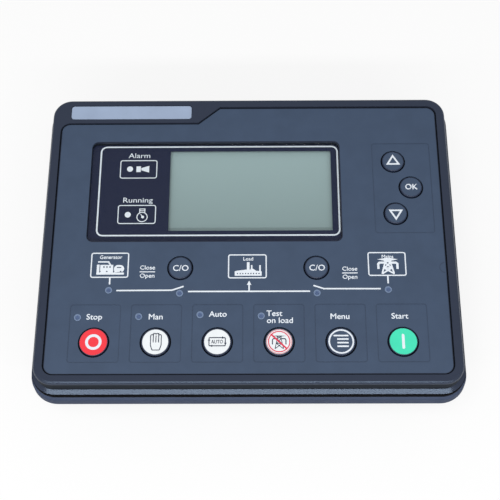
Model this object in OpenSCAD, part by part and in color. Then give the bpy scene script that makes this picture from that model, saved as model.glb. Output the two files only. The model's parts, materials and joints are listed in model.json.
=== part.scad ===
// Panel-mounted generator-set controller, lying face up on its back.
// Millimetres. X runs along the face, Y up the face, Z out of the face.
// The origin is under the middle of the case, on the plane of its back.

/* [Case] */
// Width across the rim
case_w = 212.2; // [192:0.1:234]
// Height of the face across the rim
case_h = 162.4; // [147:0.1:178]
// Corner radius of the rim
case_r = 13.4; // [12.2:0.1:15.5]
// How far the rim stands out beyond the sides of the body that passes through the panel
rim_side = 13.6; // [12.6:0.1:15.6]
// How far the rim stands out beyond the ends of the body that passes through the panel
rim_end = 11.2; // [10.6:0.1:13.6]
// Corner radius of the body
body_r = 5; // [3.5:0.5:8]
// Depth of the body behind the panel seat
body_d = 29; // [28:0.5:36]
// Wall of the rear case
wall = 2.4; // [2:0.1:2.8]
// Height of the rim in front of the panel
rim_h = 6.6; // [6:0.1:8]
// Wall of the rim
rim_wall = 2.6; // [2:0.1:3]
// How much the rim leans in towards its top
rim_lean = 0.3; // [0.1:0.1:0.6]
// Width of the lip round the top of the rim
rim_lip = 5.7; // [5.2:0.1:5.8]
// Thickness of the lip round the top of the rim
rim_lip_t = 2.5; // [1.5:0.1:3]
// Rounding of the rim's top edge
rim_round = 2.2; // [1.2:0.1:2.4]
// Floor of the rim, which seats on the panel
flange_t = 2.4; // [2:0.1:3]

/* [Front bezel] */
// Height of the bezel, from the seal to its face
bezel_h = 10.6; // [9.5:0.1:13]
// Inset of the bezel's ledge from the rim
bezel_inset = 1.7; // [1.5:0.1:1.9]
// Upright edge below the ledge
ledge_lip = 0.6; // [0.3:0.1:1]
// Rise of the sloping ledge
ledge_rise = 1.2; // [0.6:0.1:1.8]
// Width of the sloping ledge
ledge_w = 2.1; // [1.7:0.1:2.4]
// Width of the frame round the fascia
bezel_border = 4.5; // [4:0.1:5]
// Rounding of the frame's outer edge
bezel_round = 1.5; // [0.6:0.1:2]
// Thickness of the plate behind the fascia
plate_t = 3.5; // [3.2:0.1:4]
// Thickness of the skirt that laps inside the rim
skirt_t = 2.2; // [1.6:0.1:2.3]
// Gap between the skirt and the lip of the rim
skirt_gap = 0.3; // [0.2:0.1:0.5]
// How far the skirt reaches below the top of the rim
skirt_lap = 1.7; // [1:0.1:2.2]

/* [Seals] */
// Height of the seal between the bezel and the rim
seal_h = 3.8; // [3.2:0.1:4.6]
// How far the seal lies back from the rim
seal_inset = 1.4; // [1:0.1:2.4]
// Rounding of the seal's outer edges
seal_round = 0.5; // [0.3:0.1:1]
// Thickness of the panel gasket
gasket_t = 1.5; // [1:0.1:2.5]
// How far the gasket lies back from the rim
gasket_inset = 1.5; // [1:0.1:3]
// Gap between the gasket and the body
gasket_gap = 0.4; // [0.2:0.1:0.6]

/* [Fascia] */
// Thickness of the fascia
fascia_t = 1.2; // [1:0.1:1.6]
// Gap round the fascia
fascia_gap = 0.6; // [0.4:0.1:0.8]
// How far the fascia lies below the frame
fascia_drop = 0.8; // [0.4:0.1:1.2]
// Height of the step at the top left corner
notch_drop = 9.4; // [8.5:0.1:10]
// Place of the step's foot, from the middle of the face
notch_x = -26; // [-28:0.5:-22]
// Run of the step's slope
notch_run = 11.3; // [9:0.1:13]
// Edge left beside the name plate
name_side = 4.5; // [3.5:0.1:6]
// Edge between the name plate and the step's foot
name_foot = 3.9; // [2:0.1:8]
// Height of the name plate
name_h = 7.7; // [6.5:0.1:8]
// Corner radius of the name plate
name_r = 1.5; // [0.5:0.1:2.5]
// Thickness of the name plate
name_t = 0.5; // [0.3:0.1:0.6]
// Depth of the name plate's recess
name_recess = 0.8; // [0.7:0.1:1]
// Gap round the name plate
name_gap = 0.3; // [0.2:0.1:0.5]
// Middle of the name plate above the step
name_rise = 6.9; // [6.6:0.1:7.2]
// Edge left between the shallow fields of the lower row
field_edge = 5.5; // [4.5:0.1:7]
// Margin of the lower row's fields below its keys
field_low = 3; // [2:0.1:4]
// Margin of the lower row's fields above its indicators
field_high = 5.6; // [4:0.1:6]
// Margin of the field round the menu keys
field_margin = 4.8; // [4:0.1:6]
// Depth of the shallow fields pressed round the keys
field_depth = 0.15; // [0.1:0.05:0.3]
// Corner radius of the shallow fields
field_r = 1.2; // [0.5:0.1:3]

/* [Display] */
// Window to the left of the visible display
mask_left = 40.55; // [39:0.05:42]
// Window to the right of the visible display
mask_right = 4.25; // [3.5:0.05:5]
// Window below the visible display
mask_low = 6.9; // [6:0.1:8]
// Window above the visible display
mask_high = 3.8; // [3:0.1:4.5]
// Corner radius of the window
window_r = 2.9; // [2:0.1:4]
// How far the window lies below the fascia
window_drop = 1.6; // [1.4:0.1:1.8]
// Thickness of the window
window_t = 1.2; // [1:0.1:1.4]
// Gap round the window
window_gap = 0.15; // [0.1:0.05:0.3]
// Thickness of the mask behind the window
mask_t = 0.25; // [0.2:0.05:0.4]
// Gap between the window and the mask
mask_gap = 0.05; // [0.03:0.01:0.1]
// Width of the visible display
view_w = 82.7; // [78:0.1:84]
// Height of the visible display
view_h = 45.2; // [43:0.1:46]
// Middle of the display across the face
view_x = 1; // [0:0.1:1.6]
// Middle of the display above the fascia's lower edge
view_y = 98.2; // [97.5:0.1:99]
// Opening in front of the display, beyond the view
view_margin = 2; // [1:0.1:3]
// Border of the display's metal frame outside the view
lcd_border = 6; // [5:0.1:6.5]
// Sheet of the display's metal frame
lcd_sheet = 0.6; // [0.4:0.1:0.8]
// Thickness of the display glass
lcd_glass_t = 2.8; // [2:0.1:3.2]
// Gap round the display glass in its frame
lcd_clear = 0.2; // [0.1:0.05:0.4]
// Gap between the display's frame and the bezel plate
lcd_gap = 0.3; // [0.2:0.1:0.6]
// Middle of the two indicators beside the display
side_light_x = -61.1; // [-63:0.1:-59]
// Height of the alarm indicator above the fascia's lower edge
alarm_y = 110.6; // [108:0.1:112]
// Height of the running indicator above the fascia's lower edge
running_y = 84.6; // [82:0.1:87]

/* [Keys] */
// Diameter of the keys in the lower row
row_key_d = 13.8; // [12.5:0.1:14.2]
// Spacing of the keys in the lower row
row_pitch = 29.6; // [28.8:0.1:29.8]
// Height of the lower row above the fascia's lower edge
row_y = 15.9; // [15.5:0.1:17]
// Diameter of the two breaker keys
breaker_key_d = 11.6; // [10.5:0.1:12.4]
// Distance of the breaker keys from the middle
breaker_x = 33.5; // [31:0.1:36]
// Height of the breaker keys above the fascia's lower edge
breaker_y = 54.2; // [53:0.1:55.5]
// Diameter of the three menu keys
nav_key_d = 11.2; // [10.4:0.1:12]
// Place of the up and down keys, from the middle
nav_x = 74; // [72:0.1:74.5]
// How far the confirm key lies outside the up and down keys
nav_out = 8.4; // [7:0.1:9]
// Height of the confirm key above the fascia's lower edge
nav_y = 98.1; // [97:0.1:99.5]
// Step from the confirm key to the up and down keys
nav_step = 14.7; // [14:0.1:15.5]
// How far the keys stand above the fascia
key_proud = 0.5; // [0.2:0.1:0.9]
// Travel of the keys
key_travel = 0.6; // [0.3:0.1:0.7]
// Gap between a key and the fascia
key_gap = 0.7; // [0.5:0.1:0.9]
// Gap between a key and its guide in the bezel plate
key_guide = 0.35; // [0.2:0.05:0.45]
// Rounding of the key's edge
key_round = 0.4; // [0.1:0.05:0.5]
// Flange that keeps the key in, beyond its guide
key_flange = 0.95; // [0.6:0.05:1.1]
// Thickness of the key's flange
key_flange_t = 1; // [0.8:0.1:1.2]
// Gap between the key's flange and the bezel plate
key_stop = 0.1; // [0.05:0.05:0.2]
// Diameter of the key's stem
key_stem_d = 4.4; // [4:0.1:5.5]

/* [Indicators] */
// Diameter of the light pipes
pipe_d = 3.5; // [3:0.1:3.8]
// Gap round the light pipes
pipe_gap = 0.1; // [0.05:0.05:0.15]
// Width of the raised edge on a light pipe
pipe_edge = 0.65; // [0.4:0.05:0.8]
// Depth of the dish in a light pipe
pipe_dish = 0.25; // [0.1:0.05:0.4]
// Flange that keeps a light pipe in
pipe_flange = 0.9; // [0.6:0.1:1.1]
// Thickness of the light pipe's flange
pipe_flange_t = 0.8; // [0.6:0.1:1]
// How far the indicators of the lower row lie left of their keys
row_light_dx = 8.5; // [8:0.1:9]
// Height of the lower row's indicators above the fascia's lower edge
row_light_y = 29.3; // [29:0.1:30.5]
// How far each of these indicators lies above or below that height, from the left
row_light_shift = [-0.8, -0.4, 0.5, -0.2];
// Distance of the two supply indicators from the middle
supply_light_x = 68.2; // [66:0.1:70]
// Height of the supply indicators above the fascia's lower edge
supply_light_y = 42.6; // [41.5:0.1:43.5]
// Height of the breaker indicators above the fascia's lower edge
breaker_light_y = 40.9; // [40:0.1:41.5]

/* [Boards] */
// Thickness of the circuit boards
board_t = 1.6; // [1.2:0.1:2]
// Room between the bezel plate and the display board
board_room = 7.3; // [7.1:0.1:8]
// How far the display board lies inside the body's outline
display_edge = 3.5; // [3:0.1:4.5]
// How far the main board lies inside the body's walls
main_edge = 4.1; // [3.2:0.1:5]
// Height of the main board above the terminal shelf
main_rise = 2.6; // [2:0.1:3.2]
// Side of a key switch
switch_side = 6.2; // [6:0.1:7]
// Height of a key switch
switch_h = 3.6; // [3.4:0.1:3.9]
// Diameter of a switch plunger
plunger_d = 3.5; // [3:0.1:3.8]
// How far a plunger stands above its switch
plunger_proud = 1.4; // [1.2:0.1:1.6]
// How far a plunger reaches into its switch
plunger_seat = 1.2; // [1:0.1:1.4]
// Gap round a plunger
plunger_gap = 0.15; // [0.1:0.05:0.25]
// Depth left under a pressed plunger
plunger_rest = 0.2; // [0.1:0.05:0.3]
// Length of a light-emitting chip
chip_l = 3.2; // [2:0.1:4]
// Width of a light-emitting chip
chip_w = 1.6; // [1:0.1:3]
// Height of a light-emitting chip
chip_h = 1.1; // [0.8:0.1:1.3]
// Gap between a chip and its light pipe
chip_gap = 0.3; // [0.2:0.1:0.5]
// Length of the connector stack between the boards
link_l = 50.8; // [40:0.1:80]
// Width of the connector stack between the boards
link_w = 5; // [4:0.1:8]

/* [Components] */
// Number of relays
relays_n = 6; // [3:1:6]
// Spacing of the relays
relay_pitch = 25; // [21:0.5:26]
// Length of a relay
relay_l = 19; // [15:0.5:20]
// Width of a relay
relay_w = 15.5; // [12:0.5:18]
// Height of a relay
relay_h = 13; // [10:0.1:15]
// Rounding of a relay's upright edges
relay_r = 0.8; // [0.3:0.1:2]
// Place of the relays up the board
relay_y = 30; // [26:0.5:34]
// Number of capacitors
caps_n = 3; // [1:1:4]
// Spacing of the capacitors
cap_pitch = 16; // [15:0.5:18]
// Diameter of a capacitor
cap_d = 12.6; // [8:0.1:14]
// Height of a capacitor
cap_h = 14.5; // [11:0.5:16]
// Radius of the crimp round a capacitor's foot
cap_crimp = 0.6; // [0.3:0.1:0.8]
// Height of the crimp above the board
cap_crimp_z = 1.8; // [1.5:0.1:3]
// Distance of the first capacitor from the main board's edge
cap_edge = 20; // [16:0.5:26]
// Place of the capacitors and the processor up the board
lower_y = -29; // [-34:0.5:-24]
// Side of the processor
processor_side = 20; // [10:0.5:28]
// Height of the processor
processor_h = 1.6; // [1:0.1:3]
// Rounding of the processor's upright edges
processor_r = 0.6; // [0.2:0.1:1.5]
// Place of the processor across the board
processor_x = 22; // [5:0.5:60]

/* [Terminals] */
// Spacing of the terminals
way_pitch = 5.08; // [5:0.02:5.1]
// How many terminals fewer an upper plug has
upper_fewer = 2; // [0:1:6]
// Gap between the two plugs of a row
plug_between = 4.68; // [4:0.02:8]
// Room between a lower plug and the wells of the case screws
plug_room = 3; // [1:0.1:5]
// How far the middle of the plugs lies inside the body's edge
plug_inset = 11.5; // [11.2:0.1:12]
// Depth of the plugs across their row
plug_w = 13; // [12:0.1:13.6]
// Clearance of the plugs above the plane of the back
plug_clear = 1; // [0.5:0.1:1.5]
// Height of a plug's body
plug_h = 7.6; // [7.2:0.1:8]
// Width of the strip that holds a row of plugs
strip_w = 24; // [23:0.1:25]
// Depth of the strip that holds a row of plugs
strip_d = 12; // [11:0.1:13]
// Moulding beyond the last terminal at each end of a plug
plug_end = 0.6; // [0.4:0.1:1]
// Wall of a header
header_wall = 1.2; // [0.8:0.1:1.4]
// Width of the space inside a header
header_inner = 8.2; // [7.6:0.1:8.6]
// Depth of the space inside a header
header_depth = 6.4; // [5:0.1:6.8]
// Gap between a header and the plug's nose inside it
nose_gap = 0.2; // [0.1:0.05:0.3]
// Gap between a header and its opening in the case
header_gap = 0.4; // [0.2:0.1:0.6]
// Depth of a wire entry
entry_depth = 9; // [6:0.1:10]
// Moulding above a wire entry
entry_roof = 1.6; // [1.2:0.1:2]
// Width of a wire entry
entry_w = 2.8; // [2.4:0.1:3.4]
// Height of a wire entry
entry_h = 3; // [2.4:0.1:3.2]
// Diameter of a terminal screw
clamp_d = 3.5; // [3:0.1:3.7]
// Height of a terminal screw
clamp_h = 2.1; // [1.8:0.1:2.2]
// Gap round a terminal screw
clamp_gap = 0.15; // [0.1:0.05:0.2]
// How far a terminal screw lies below the plug's face
clamp_sink = 0.2; // [0.1:0.05:0.3]
// Width of a terminal screw's slot
slot_w = 0.7; // [0.5:0.1:1]
// Depth of a terminal screw's slot
slot_d = 0.8; // [0.5:0.1:1.2]

/* [Fixings] */
// Diameter of the case and main board screws
screw_d = 3; // [2.5:0.1:3.2]
// Diameter of their heads
head_d = 5.4; // [5:0.1:5.6]
// Height of their heads
head_h = 2.1; // [1.6:0.1:2.4]
// Diameter of the display board screws
small_screw_d = 2.4; // [2:0.1:2.6]
// Diameter of their heads
small_head_d = 4.4; // [4:0.1:4.8]
// Height of their heads
small_head_h = 1.8; // [1.4:0.1:2]
// Gap between a screw and its hole
screw_gap = 0.05; // [0.03:0.01:0.1]
// Gap between a screw and a hole that it passes through
hole_gap = 0.2; // [0.15:0.05:0.35]
// Gap round the heads of the case screws
head_gap = 0.6; // [0.3:0.1:0.7]
// Spare depth beyond the end of a screw
screw_spare = 1; // [0.5:0.1:1.5]
// Diameter of the bezel's bosses for the case screws
boss_d = 8; // [6.5:0.1:8.4]
// Diameter of the bezel's bosses for the display board
small_boss_d = 6; // [4.5:0.1:6.4]
// Diameter of the rear case's bosses for the main board
shelf_boss_d = 7; // [5.5:0.1:7.4]
// Distance of the main board's screws inside the case screws
shelf_boss_in = 3.5; // [3:0.1:4]
// Distance of the main board's screws from the middle of the back
shelf_boss_out = 4; // [3.6:0.1:4.5]
// Depth left under a main board screw
shelf_floor = 1.2; // [0.8:0.1:1.5]
// Gap between the boards and the bosses at their corners
corner_gap = 0.5; // [0.3:0.1:0.6]
// Inset of the display board's screws from its edges
board_screw_edge = 4; // [3:0.1:6]
// Height of the side display board screws above the fascia's lower edge
board_screw_mid = 64; // [60:0.5:66]
// Distance of the top display board screws from the middle
board_screw_top = 59; // [56:0.5:61]
// Inset of the case screws from the body's edges
well_inset = 7; // [6.6:0.1:7.5]
// Diameter of the wells that hold the case screws
well_d = 10; // [9:0.1:10.4]
// Width of a panel clip pocket
clip_w = 12; // [8:0.5:16]
// Height of a panel clip pocket
clip_h = 5; // [3:0.5:6]
// Depth of a panel clip pocket
clip_d = 1.4; // [0.8:0.1:1.5]
// Distance of the clip pockets from the middle
clip_y = 35; // [25:0.5:36]
// Distance of the clip pockets behind the panel seat
clip_back = 6.5; // [5:0.5:9]

/* [Hidden] */
$fn = 64;
// Overlap of pieces that are moulded as one, and overshoot of cuts
lap = 0.5;

// Fascia for which the places on the face are given; they move with its size
layout_w = 194.4;
layout_h = 144.6;

// Levels above the plane of the back
z_seat = body_d;
z_rim = z_seat + rim_h;
z_bezel = z_rim + seal_h;
z_top = z_bezel + bezel_h;
z_face = z_top - fascia_drop;
z_floor = z_face - fascia_t;
z_plate = z_floor - plate_t;
z_window = z_face - window_drop - window_t;
z_mask = z_window - mask_gap - mask_t;
z_board = z_plate - board_room;
z_lcd = z_plate - lcd_gap;
z_shelf = strip_d + wall;
z_main = z_shelf + main_rise;
z_main_top = z_main + board_t;
z_flange = z_plate - key_stop - key_flange_t;
z_switch = z_board + switch_h;
z_plunger = z_switch + plunger_proud;
z_plug = plug_clear + plug_h;
z_well = z_seat + flange_t + lap;

// Distances inward from the outline of the case
tier_in = bezel_inset + ledge_w;
pocket_in = tier_in + bezel_border;
skirt_in = rim_lip + skirt_gap;
rim_top_in = rim_lean + rim_round;

// Fascia, with its corners concentric with the rim's
fascia_in = pocket_in + fascia_gap;
fascia_w = case_w - 2 * fascia_in;
fascia_h = case_h - 2 * fascia_in;
fascia_r = case_r - fascia_in;
notch_y = fascia_h / 2 - notch_drop;

// Places on the face, across from its middle and up from the fascia's lower edge
function face_x(x) = x * fascia_w / layout_w;
function face_y(y) = (y / layout_h - 0.5) * fascia_h;
function row_x(i) = (i - 2.5) * row_pitch;

// Name plate, between the fascia's side and the step
name_w = fascia_w / 2 + face_x(notch_x) - name_side - name_foot;
name_x = name_side + (name_w - fascia_w) / 2;

// Body that passes through the panel, and the boards inside it
body_w = case_w - 2 * rim_side;
body_h = case_h - 2 * rim_end;
board_w = body_w - 2 * display_edge;
board_h = body_h - 2 * display_edge;
main_w = body_w - 2 * (wall + main_edge);
main_h = body_h - 2 * (wall + main_edge);

// Fixing places
well_x = body_w / 2 - well_inset;
well_y = body_h / 2 - well_inset;
shelf_boss = [well_x - shelf_boss_in, body_h / 2 - strip_w + shelf_boss_out];

// Terminal rows, with as many terminals as fit between the wells
lower_ways = floor((well_x - well_d / 2 - plug_room - plug_between / 2 - 2 * plug_end) / way_pitch);
upper_ways = lower_ways - upper_fewer;
plug_x = plug_between / 2 + plug_end + lower_ways * way_pitch / 2;
plateau_h = body_h - 2 * strip_w;
plug_y = body_h / 2 - plug_inset;
entry_z = z_plug - entry_roof - entry_h / 2;

ROW = ["stop", "manual", "auto", "test", "menu", "start"];
ROW_COLOURS = ["#f0404e", "#f4f5f8", "#f4f5f8", "#f4f5f8", "#485a70", "#3fdcae"];
FASCIA_BLUE = "#485a70";
CASE_BLACK = "#39404f";
REAR_GREY = "#50586c";

// Keys: name, place on the face, diameter, colour
KEYS = concat(
    [for (i = [0:5]) [ROW[i], row_x(i), row_y, row_key_d, ROW_COLOURS[i]]],
    [
        ["generator_breaker", -breaker_x, breaker_y, breaker_key_d, FASCIA_BLUE],
        ["mains_breaker", breaker_x, breaker_y, breaker_key_d, FASCIA_BLUE],
        ["up", nav_x, nav_y + nav_step, nav_key_d, FASCIA_BLUE],
        ["confirm", nav_x + nav_out, nav_y, nav_key_d, FASCIA_BLUE],
        ["down", nav_x, nav_y - nav_step, nav_key_d, FASCIA_BLUE]
    ]
);

// Light pipes: name, place on the face
LIGHTS = concat(
    [for (i = [0:3]) [ROW[i], row_x(i) - row_light_dx, row_light_y + row_light_shift[i]]],
    [
        ["generator", -supply_light_x, supply_light_y],
        ["mains", supply_light_x, supply_light_y],
        ["generator_breaker", -breaker_x, breaker_light_y],
        ["mains_breaker", breaker_x, breaker_light_y]
    ]
);

// Indicators that shine through the display mask
SIDE_LIGHTS = [[side_light_x, alarm_y], [side_light_x, running_y]];

// Terminal plugs: name, place along the row, side of the case, terminals
PLUGS = [
    ["lower_left", -plug_x, -1, lower_ways],
    ["lower_right", plug_x, -1, lower_ways],
    ["upper_left", -plug_x, 1, upper_ways],
    ["upper_right", plug_x, 1, upper_ways]
];

// Screws of the display board
BOARD_SCREWS = [
    for (side = [-1, 1])
        for (place = [
            [face_x(row_pitch), board_screw_edge - board_h / 2],
            [board_w / 2 - board_screw_edge, face_y(board_screw_mid)],
            [face_x(board_screw_top), board_h / 2 - board_screw_edge]
        ])
            [side * place[0], place[1]]
];

// Rounded rectangle between two edges across and two edges up
module span_rect(x0, x1, y0, y1, r) {
    translate([x0 + r, y0]) square([x1 - x0 - 2 * r, y1 - y0]);
    translate([x0, y0 + r]) square([x1 - x0, y1 - y0 - 2 * r]);
    for (x = [x0 + r, x1 - r], y = [y0 + r, y1 - r]) translate([x, y]) circle(r);
}

// Rounded rectangle about the origin
module round_rect(w, h, r) {
    span_rect(-w / 2, w / 2, -h / 2, h / 2, r);
}

// Prism of a 2D shape between two levels
module slab(z0, z1) {
    translate([0, 0, z0]) linear_extrude(z1 - z0) children();
}

// Upright cylinder between two levels
module post(d, z0, z1) {
    translate([0, 0, z0]) cylinder(d = d, h = z1 - z0);
}

// Copies at the four corners of a rectangle
module corners(x, y) {
    for (sx = [-1, 1], sy = [-1, 1]) translate([sx * x, sy * y, 0]) children();
}

// Copy at a place on the face
module on_face(x, y) {
    translate([face_x(x), face_y(y), 0]) children();
}

// Carries a section round the outline of the case; its x runs outward from there and its y is height
module round_case() {
    for (i = [0:3]) {
        across = i % 2 == 0 ? case_w : case_h;
        along = i % 2 == 0 ? case_h : case_w;
        rotate([0, 0, 90 * i]) {
            translate([across / 2, 0, 0]) rotate([90, 0, 0])
                linear_extrude(along - 2 * case_r, center = true) children();
            translate([across / 2 - case_r, along / 2 - case_r, 0])
                rotate_extrude(angle = 90) translate([case_r, 0]) children();
        }
    }
}

// Step at the fascia's top left, seen from outside the fascia, with the fascia grown by a gap
module notch_outline(grow = 0) {
    side = fascia_w / 2 + grow;
    top = fascia_h / 2 + grow;
    step = notch_y + grow;
    r = fascia_r + grow;
    foot = face_x(notch_x) - grow * tan(atan2(notch_drop, notch_run) / 2);
    head = foot + notch_run;
    polygon([[-side - lap, step], [foot, step], [head, top], [head, top + lap], [-side - lap, top + lap]]);
    difference() {
        translate([-side - lap, step - r]) square([r + lap, r + lap]);
        translate([-side + r, step - r]) circle(r);
    }
}

// Outline of the fascia
module fascia_outline() {
    difference() {
        round_rect(fascia_w, fascia_h, fascia_r);
        notch_outline();
    }
}

// Section of the bezel: ledge, frame and skirt
module bezel_section() {
    polygon([
        [-bezel_inset, z_bezel], [-bezel_inset, z_bezel + ledge_lip],
        [-tier_in, z_bezel + ledge_lip + ledge_rise], [-pocket_in, z_bezel + ledge_lip + ledge_rise],
        [-pocket_in, z_bezel]
    ]);
    translate([-pocket_in, z_plate]) square([bezel_border - bezel_round, z_top - z_plate]);
    translate([-pocket_in, z_bezel]) square([bezel_border, z_top - bezel_round - z_bezel]);
    translate([-tier_in - bezel_round, z_top - bezel_round]) circle(bezel_round);
    translate([-skirt_in - skirt_t, z_rim - skirt_lap]) square([skirt_t, z_plate - z_rim + skirt_lap]);
}

// Section of the rear case's rim, with the lip that carries the seal
module rim_section() {
    polygon([
        [0, z_seat], [-rim_lean, z_rim - rim_round], [-rim_top_in, z_rim - rim_round],
        [-rim_top_in, z_rim], [-rim_lip, z_rim],
        [-rim_lip, z_rim - rim_lip_t], [-rim_wall, z_rim - rim_lip_t - (rim_lip - rim_wall)],
        [-rim_wall, z_seat]
    ]);
    translate([-rim_top_in, z_rim - rim_round]) circle(rim_round);
}

module window_outline(inset = 0) {
    w = view_w + mask_left + mask_right - 2 * inset;
    h = view_h + mask_low + mask_high - 2 * inset;
    translate([face_x(view_x) + (mask_right - mask_left) / 2, face_y(view_y) + (mask_high - mask_low) / 2])
        round_rect(w, h, window_r - inset);
}

module view_outline(grow = 0) {
    translate([face_x(view_x), face_y(view_y)])
        square([view_w + 2 * grow, view_h + 2 * grow], center = true);
}

module name_outline(grow = 0) {
    translate([name_x, notch_y + name_rise])
        round_rect(name_w + 2 * grow, name_h + 2 * grow, name_r + grow);
}

module front_bezel() {
    color(CASE_BLACK) difference() {
        union() {
            round_case() bezel_section();
            slab(z_plate, z_floor)
                round_rect(fascia_w + 2 * (fascia_gap + lap), fascia_h + 2 * (fascia_gap + lap),
                    fascia_r + fascia_gap + lap);
            slab(z_plate, z_top) notch_outline(fascia_gap);
            corners(well_x, well_y) post(boss_d, z_well, z_plate + lap);
            for (s = BOARD_SCREWS) translate(s) post(small_boss_d, z_board, z_plate + lap);
        }
        slab(z_mask, z_top) window_outline();
        slab(z_plate - lap, z_top) view_outline(view_margin);
        for (l = SIDE_LIGHTS) on_face(l[0], l[1]) post(pipe_d, z_plate - lap, z_top);
        slab(z_top - name_recess, z_top + lap) name_outline(name_gap);
        for (k = KEYS) on_face(k[1], k[2]) post(k[3] + 2 * key_guide, z_plate - lap, z_top);
        for (l = LIGHTS) on_face(l[1], l[2]) post(pipe_d + 2 * pipe_gap, z_plate - lap, z_top);
        corners(well_x, well_y) post(screw_d + 2 * screw_gap, z_well - lap, z_plate);
        for (s = BOARD_SCREWS) translate(s) post(small_screw_d + 2 * screw_gap, z_board - lap, z_plate);
    }
}

// Shallow fields pressed into the fascia round the key groups
module key_fields() {
    side = (face_x(row_pitch) - field_edge) / 2;
    low = face_y(row_y) - row_key_d / 2 - field_low;
    high = face_y(row_light_y) + field_high;
    reach = nav_key_d / 2 + field_margin;
    for (i = [0:5]) span_rect(face_x(row_x(i)) - side, face_x(row_x(i)) + side, low, high, field_r);
    span_rect(face_x(nav_x) - reach, face_x(nav_x + nav_out) + reach, face_y(nav_y - nav_step) - reach,
        face_y(nav_y + nav_step) + reach, field_r);
}

module fascia() {
    color(FASCIA_BLUE) difference() {
        slab(z_floor, z_face) fascia_outline();
        slab(z_floor - lap, z_face + lap) window_outline();
        slab(z_face - field_depth, z_face + lap) key_fields();
        for (k = KEYS) on_face(k[1], k[2]) post(k[3] + 2 * key_gap, z_floor - lap, z_face + lap);
        for (l = LIGHTS) on_face(l[1], l[2]) post(pipe_d + 2 * pipe_gap, z_floor - lap, z_face + lap);
    }
}

module name_plate() {
    z0 = z_top - name_recess;
    color("#a9b3c6") slab(z0, z0 + name_t) name_outline();
}

module window_lens() {
    color("#20283a", 0.5) slab(z_window, z_window + window_t) window_outline(window_gap);
}

module display_mask() {
    color("#2b3550") difference() {
        slab(z_mask, z_mask + mask_t) window_outline(window_gap);
        slab(z_mask - lap, z_window + lap) view_outline();
    }
}

module case_seal() {
    edge = seal_inset + seal_round;
    color("#101114") round_case() {
        translate([-rim_lip, z_rim]) square([rim_lip - edge, seal_h]);
        translate([-rim_lip, z_rim + seal_round]) square([rim_lip - seal_inset, seal_h - 2 * seal_round]);
        translate([-edge, z_rim + seal_round]) circle(seal_round);
        translate([-edge, z_rim + seal_h - seal_round]) circle(seal_round);
    }
}

// Outside of the rear case: rim, flange, body and the middle of its back
module rear_outside() {
    round_case() rim_section();
    slab(z_seat, z_seat + flange_t) round_rect(case_w - rim_wall, case_h - rim_wall, case_r - rim_wall / 2);
    slab(strip_d, z_seat + flange_t) round_rect(body_w, body_h, body_r);
    slab(0, strip_d + lap) round_rect(body_w, plateau_h, body_r);
}

// Space inside the rear case
module rear_inside() {
    inner_r = body_r - wall;
    slab(z_shelf, z_seat + flange_t + lap) round_rect(body_w - 2 * wall, body_h - 2 * wall, inner_r);
    slab(wall, z_shelf + lap) round_rect(body_w - 2 * wall, plateau_h - 2 * wall, inner_r);
}

module rear_case() {
    color(REAR_GREY) difference() {
        union() {
            difference() {
                rear_outside();
                rear_inside();
            }
            intersection() {
                corners(well_x, well_y) post(well_d, strip_d, z_well);
                slab(strip_d, z_well) round_rect(body_w, body_h, body_r);
            }
            corners(shelf_boss[0], shelf_boss[1]) post(shelf_boss_d, strip_d, z_main);
        }
        corners(well_x, well_y) post(head_d + 2 * head_gap, strip_d - lap, z_seat);
        corners(well_x, well_y) post(screw_d + 2 * hole_gap, strip_d, z_well + lap);
        corners(shelf_boss[0], shelf_boss[1])
            post(screw_d + 2 * screw_gap, strip_d + shelf_floor, z_main + lap);
        for (p = PLUGS) slab(strip_d - lap, z_shelf + lap) header_outline(p, header_gap);
        for (side = [-1, 1], y = [-clip_y, clip_y])
            translate([side * (body_w / 2), y, z_seat - clip_back])
                cube([2 * clip_d, clip_w, clip_h], center = true);
    }
}

module panel_gasket() {
    r = case_r - gasket_inset;
    color("#16171a") slab(z_seat - gasket_t, z_seat) difference() {
        round_rect(case_w - 2 * gasket_inset, case_h - 2 * gasket_inset, r);
        round_rect(body_w + 2 * gasket_gap, body_h + 2 * gasket_gap, body_r + gasket_gap);
    }
}

// Screw with its head's underside at the origin, its shank up and a hexagon socket below
module screw(d, head, height, length) {
    difference() {
        union() {
            post(head, -height, 0);
            post(d, -lap, length);
        }
        translate([0, 0, -height - lap]) cylinder(d = head * 0.5, h = height * 0.6 + lap, $fn = 6);
    }
}

module case_screws() {
    length = z_plate - z_seat - screw_spare;
    color("#9aa0a8") corners(well_x, well_y) translate([0, 0, z_seat]) screw(screw_d, head_d, head_h, length);
}

module board_screws() {
    length = board_t + board_room - screw_spare;
    color("#9aa0a8") for (s = BOARD_SCREWS)
        translate([s[0], s[1], z_board - board_t])
            screw(small_screw_d, small_head_d, small_head_h, length);
}

module main_board_screws() {
    length = z_main_top - strip_d - shelf_floor - screw_spare;
    color("#9aa0a8") corners(shelf_boss[0], shelf_boss[1])
        translate([0, 0, z_main_top]) mirror([0, 0, 1]) screw(screw_d, head_d, head_h, length);
}

module lcd_frame() {
    color("#b9bdc2") difference() {
        slab(z_board, z_lcd) view_outline(lcd_border);
        slab(z_board - lap, z_lcd - lcd_sheet) view_outline(lcd_border - lcd_sheet);
        slab(z_board, z_lcd + lap) view_outline(view_margin);
    }
}

module lcd_glass() {
    color("#9fb0a4") slab(z_lcd - lcd_sheet - lcd_glass_t, z_lcd - lcd_sheet)
        view_outline(lcd_border - lcd_sheet - lcd_clear);
}

module backlight() {
    color("#e9ecec") slab(z_board, z_lcd - lcd_sheet - lcd_glass_t)
        view_outline(lcd_border - lcd_sheet - lcd_clear);
}

// Corner cuts that clear the case screws' bosses and wells by their half width
module corner_cuts(half) {
    for (sx = [-1, 1], sy = [-1, 1])
        translate([sx * (well_x + body_w / 2), sy * (well_y + body_h / 2)])
            square([body_w + 2 * half, body_h + 2 * half], center = true);
}

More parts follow.
